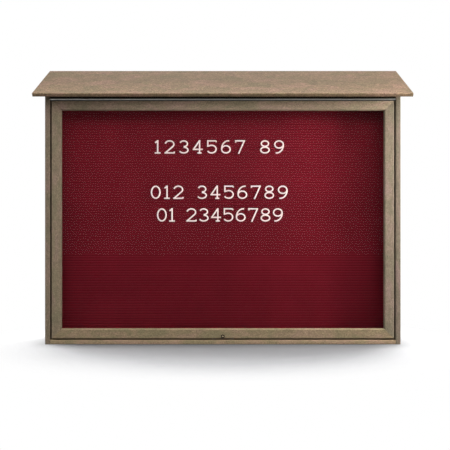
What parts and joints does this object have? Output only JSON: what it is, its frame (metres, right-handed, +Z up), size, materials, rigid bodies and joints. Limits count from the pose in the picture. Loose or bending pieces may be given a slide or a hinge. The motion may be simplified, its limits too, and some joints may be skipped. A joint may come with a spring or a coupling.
{
  "type": "lockable notice board",
  "caption": "Outdoor letterboard cabinet with a sloping roof board and one top-hinged glazed door that a cam lock holds shut.",
  "frame": {"origin": "middle of the footprint, on the surface that the cabinet stands on", "axes": "+X along the width to the reader's right, +Y towards the back panel, +Z up"},
  "size_m": [1.312, 0.2032, 1.0076],
  "materials": {
    "lumber": "weathered-wood grain, matte",
    "pane": "clear sheet",
    "letterboard": "felt over grooves",
    "plywood": "plain",
    "hinge": "mill, satin",
    "steel": "zinc plated",
    "lock": "plated",
    "seal": "closed-cell foam",
    "characters": "moulded, matte"
  },
  "bodies": {
    "cabinet": {"side_wall_left": "lumber", "side_wall_right": "lumber", "sill_board": "lumber", "head_board": "lumber", "roof_cleat": "lumber", "back_panel": "lumber", "roof_board": "lumber", "wall_screw_sill_front_left": "steel", "wall_screw_sill_rear_left": "steel", "wall_screw_head_left": "steel", "wall_screw_cleat_left": "steel", "wall_screw_sill_front_right": "steel", "wall_screw_sill_rear_right": "steel", "wall_screw_head_right": "steel", "wall_screw_cleat_right": "steel", "stop_left": "lumber", "stop_right": "lumber", "stop_top": "lumber", "stop_bottom_left": "lumber", "stop_bottom_right": "lumber", "seal_left": "seal", "seal_right": "seal", "seal_top": "seal", "seal_bottom_left": "seal", "seal_bottom_right": "seal", "hinge_leaf_cabinet": "hinge", "hinge_pin": "steel", "strike_plate": "steel", "letterboard_face": "letterboard", "letterboard_backing": "plywood", "batten_left": "lumber", "batten_centre": "lumber", "batten_right": "lumber", "prop_spacer_left": "steel", "prop_spacer_right": "steel", "prop_bolt_left": "steel", "prop_bolt_right": "steel"},
    "door": {"door_rail_top": "lumber", "door_rail_bottom": "lumber", "door_stile_left": "lumber", "door_stile_right": "lumber", "window_pane": "pane", "glazing_bead_top": "lumber", "glazing_bead_bottom": "lumber", "glazing_bead_left": "lumber", "glazing_bead_right": "lumber", "corner_plate_top_left": "steel", "corner_plate_top_right": "steel", "corner_plate_bottom_left": "steel", "corner_plate_bottom_right": "steel", "hinge_leaf_door": "hinge", "prop_catch_left": "steel", "prop_catch_right": "steel", "lock_barrel": "lock", "lock_nut": "steel"},
    "lock": {"lock_plug": "lock", "lock_cam": "steel", "lock_cam_screw": "steel"},
    "prop_left": {"prop_arm_left": "steel"},
    "prop_right": {"prop_arm_right": "steel"}
  },
  "joints": [
    {"name": "door_hinge", "type": "hinge", "parent": "cabinet", "child": "door", "pos_m": [0, -0.03941, 0.8689], "axis": [-1, 0, 0], "range_deg": [0, 83]},
    {"name": "lock_turn", "type": "hinge", "parent": "door", "child": "lock", "pos_m": [0, -0.03841, 0.0285], "axis": [0, 1, 0], "range_deg": [0, 90]},
    {"name": "prop_left_pivot", "type": "hinge", "parent": "cabinet", "child": "prop_left", "pos_m": [-0.593, 0.00959, 0.5689], "axis": [-1, 0, 0], "range_deg": [0, 129]},
    {"name": "prop_right_pivot", "type": "hinge", "parent": "cabinet", "child": "prop_right", "pos_m": [0.593, 0.00959, 0.5689], "axis": [-1, 0, 0], "range_deg": [0, 129]}
  ],
  "couplings": [
    {"joint": "prop_left_pivot", "follows": "door_hinge", "ratio": 1.547},
    {"joint": "prop_right_pivot", "follows": "door_hinge", "ratio": 1.547}
  ]
}
